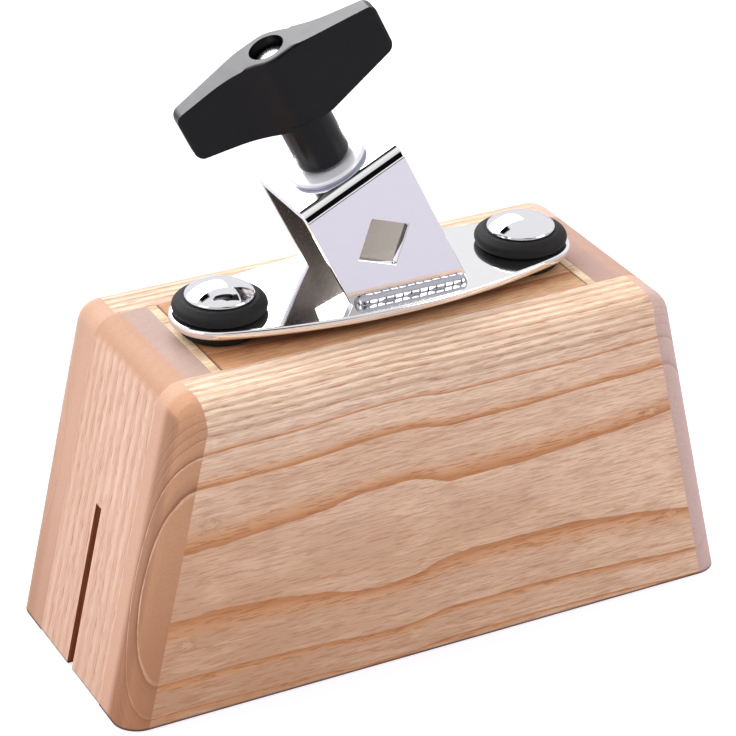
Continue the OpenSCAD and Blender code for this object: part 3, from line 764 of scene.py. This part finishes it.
# Studio: a lavender-grey floor, dark beyond its edge near the camera. Chrome reflects these colours, and a glow that
# only the camera sees lifts them to white, with the object's shadow left on the floor.
floor_mesh = bmesh.new()
for corner in ((-4, -4), (4, -4), (4, 4), (-4, 4)):
    floor_mesh.verts.new((corner[0], corner[1], -0.0002))
floor_mesh.faces.new(floor_mesh.verts[:])
floor_data = bpy.data.meshes.new("floor")
floor_mesh.to_mesh(floor_data)
floor_mesh.free()
floor = placed("floor", floor_data)
floor_shader = Shader("floor_white")
_, back, _ = floor_shader.millimetres()
table_edge = (-900.0, -800.0)
table = floor_shader.fit(back, *table_edge)
path = floor_shader.node("ShaderNodeLightPath")
floor_shader.set(Base_Color=floor_shader.mix(table, (0.05, 0.05, 0.05, 1.0), (0.56, 0.54, 0.62, 1.0)))
floor_shader.bsdf.inputs["Roughness"].default_value = 0.9
floor_shader.bsdf.inputs["Specular IOR Level"].default_value = 0.1
glow = floor_shader.node("ShaderNodeEmission", {"Color": WHITE})
lift = floor_shader.fit(back, *table_edge, 1.0, 0.6)
floor_shader.put(glow.inputs["Strength"], floor_shader.mul(path.outputs["Is Camera Ray"], lift))
both = floor_shader.node("ShaderNodeAddShader", {0: floor_shader.bsdf.outputs[0], 1: glow.outputs[0]})
floor_shader.tree.links.new(both.outputs[0], floor_shader.out.inputs["Surface"])
floor.data.materials.append(floor_shader.material)

# The camera sees a white world. Light and reflections come from a room that is white behind and above the object
# and dimmer on the camera's side, with dark strips that draw the black lines in the chrome.
world = bpy.data.worlds.new("studio")
bpy.context.scene.world = world
world.use_nodes = True
sky = Nodes(world.node_tree)
out = sky.node("ShaderNodeOutputWorld")
direction = sky.node("ShaderNodeTexCoord").outputs["Generated"]
split = sky.node("ShaderNodeSeparateXYZ", {0: direction})
turn = sky.mul(sky.math("ARCTAN2", split.outputs[2], split.outputs[1]), 1.0 / math.pi)
room = sky.ramp(turn, [
    (0.0, WHITE), (0.56, WHITE), (0.68, (0.85, 0.83, 0.81, 1.0)),
    (0.80, (0.62, 0.58, 0.55, 1.0)), (0.955, (0.50, 0.47, 0.45, 1.0)), (0.965, WHITE),
])
strips = sky.ramp(turn, [
    (0.0, 0.0), (0.215, 0.0), (0.228, 1.0), (0.37, 1.0), (0.39, 0.0),
    (0.73, 0.0), (0.745, 1.0), (0.95, 1.0), (0.96, 0.0),
])
sideways = sky.add(sky.mul(split.outputs[0], ACROSS.x), sky.mul(split.outputs[2], ACROSS.z))
aside = sky.math("ABSOLUTE", sky.sub(sideways, 0.187))
strips = sky.mul(strips, sky.fit(aside, 0.10, 0.16, 1.0, 0.0))
seen = sky.mix(strips, room, (0.004, 0.004, 0.006, 1.0))
path = sky.node("ShaderNodeLightPath")
studio = sky.node("ShaderNodeBackground", {0: seen, 1: 0.9})
white = sky.node("ShaderNodeBackground", {0: WHITE, 1: 1.0})
pick = sky.node("ShaderNodeMixShader", {0: path.outputs["Is Camera Ray"], 1: studio.outputs[0], 2: white.outputs[0]})
sky.tree.links.new(pick.outputs[0], out.inputs[0])


def lamp(name, place, aim, size, power):
    """A white rectangular lamp that looks at a point."""
    data = bpy.data.lights.new(name, "AREA")
    data.shape = "RECTANGLE"
    data.size, data.size_y = size
    data.energy = power
    obj = placed(name, data)
    obj.location = place
    obj.rotation_euler = (Vector(aim) - Vector(place)).to_track_quat("-Z", "Y").to_euler()


lamp("back_top", (-0.15, 1.15, 1.0), (0, 0, 0.08), (1.7, 0.9), 22.0)
lamp("left", (-1.4, -0.25, 0.75), (0, 0, 0.05), (0.8, 0.8), 4.8)
lamp("front_right", (1.1, -1.1, 0.8), (0, 0, 0.05), (0.8, 0.8), 8.5)

# The camera, fitted to the photo's outlines
camera_data = bpy.data.cameras.new("camera")
camera_data.sensor_width = 36.0
camera_data.lens = 150.673
camera_data.shift_y = 0.0034
camera_data.clip_start = 0.01
camera = placed("camera", camera_data)
camera.location = (-0.325627, -0.633341, 0.445838)
target = Vector((-0.001549, 0.0, 0.066103))
camera.rotation_euler = (target - camera.location).to_track_quat("-Z", "Y").to_euler()
bpy.context.scene.camera = camera
bpy.context.scene.view_settings.view_transform = "Standard"
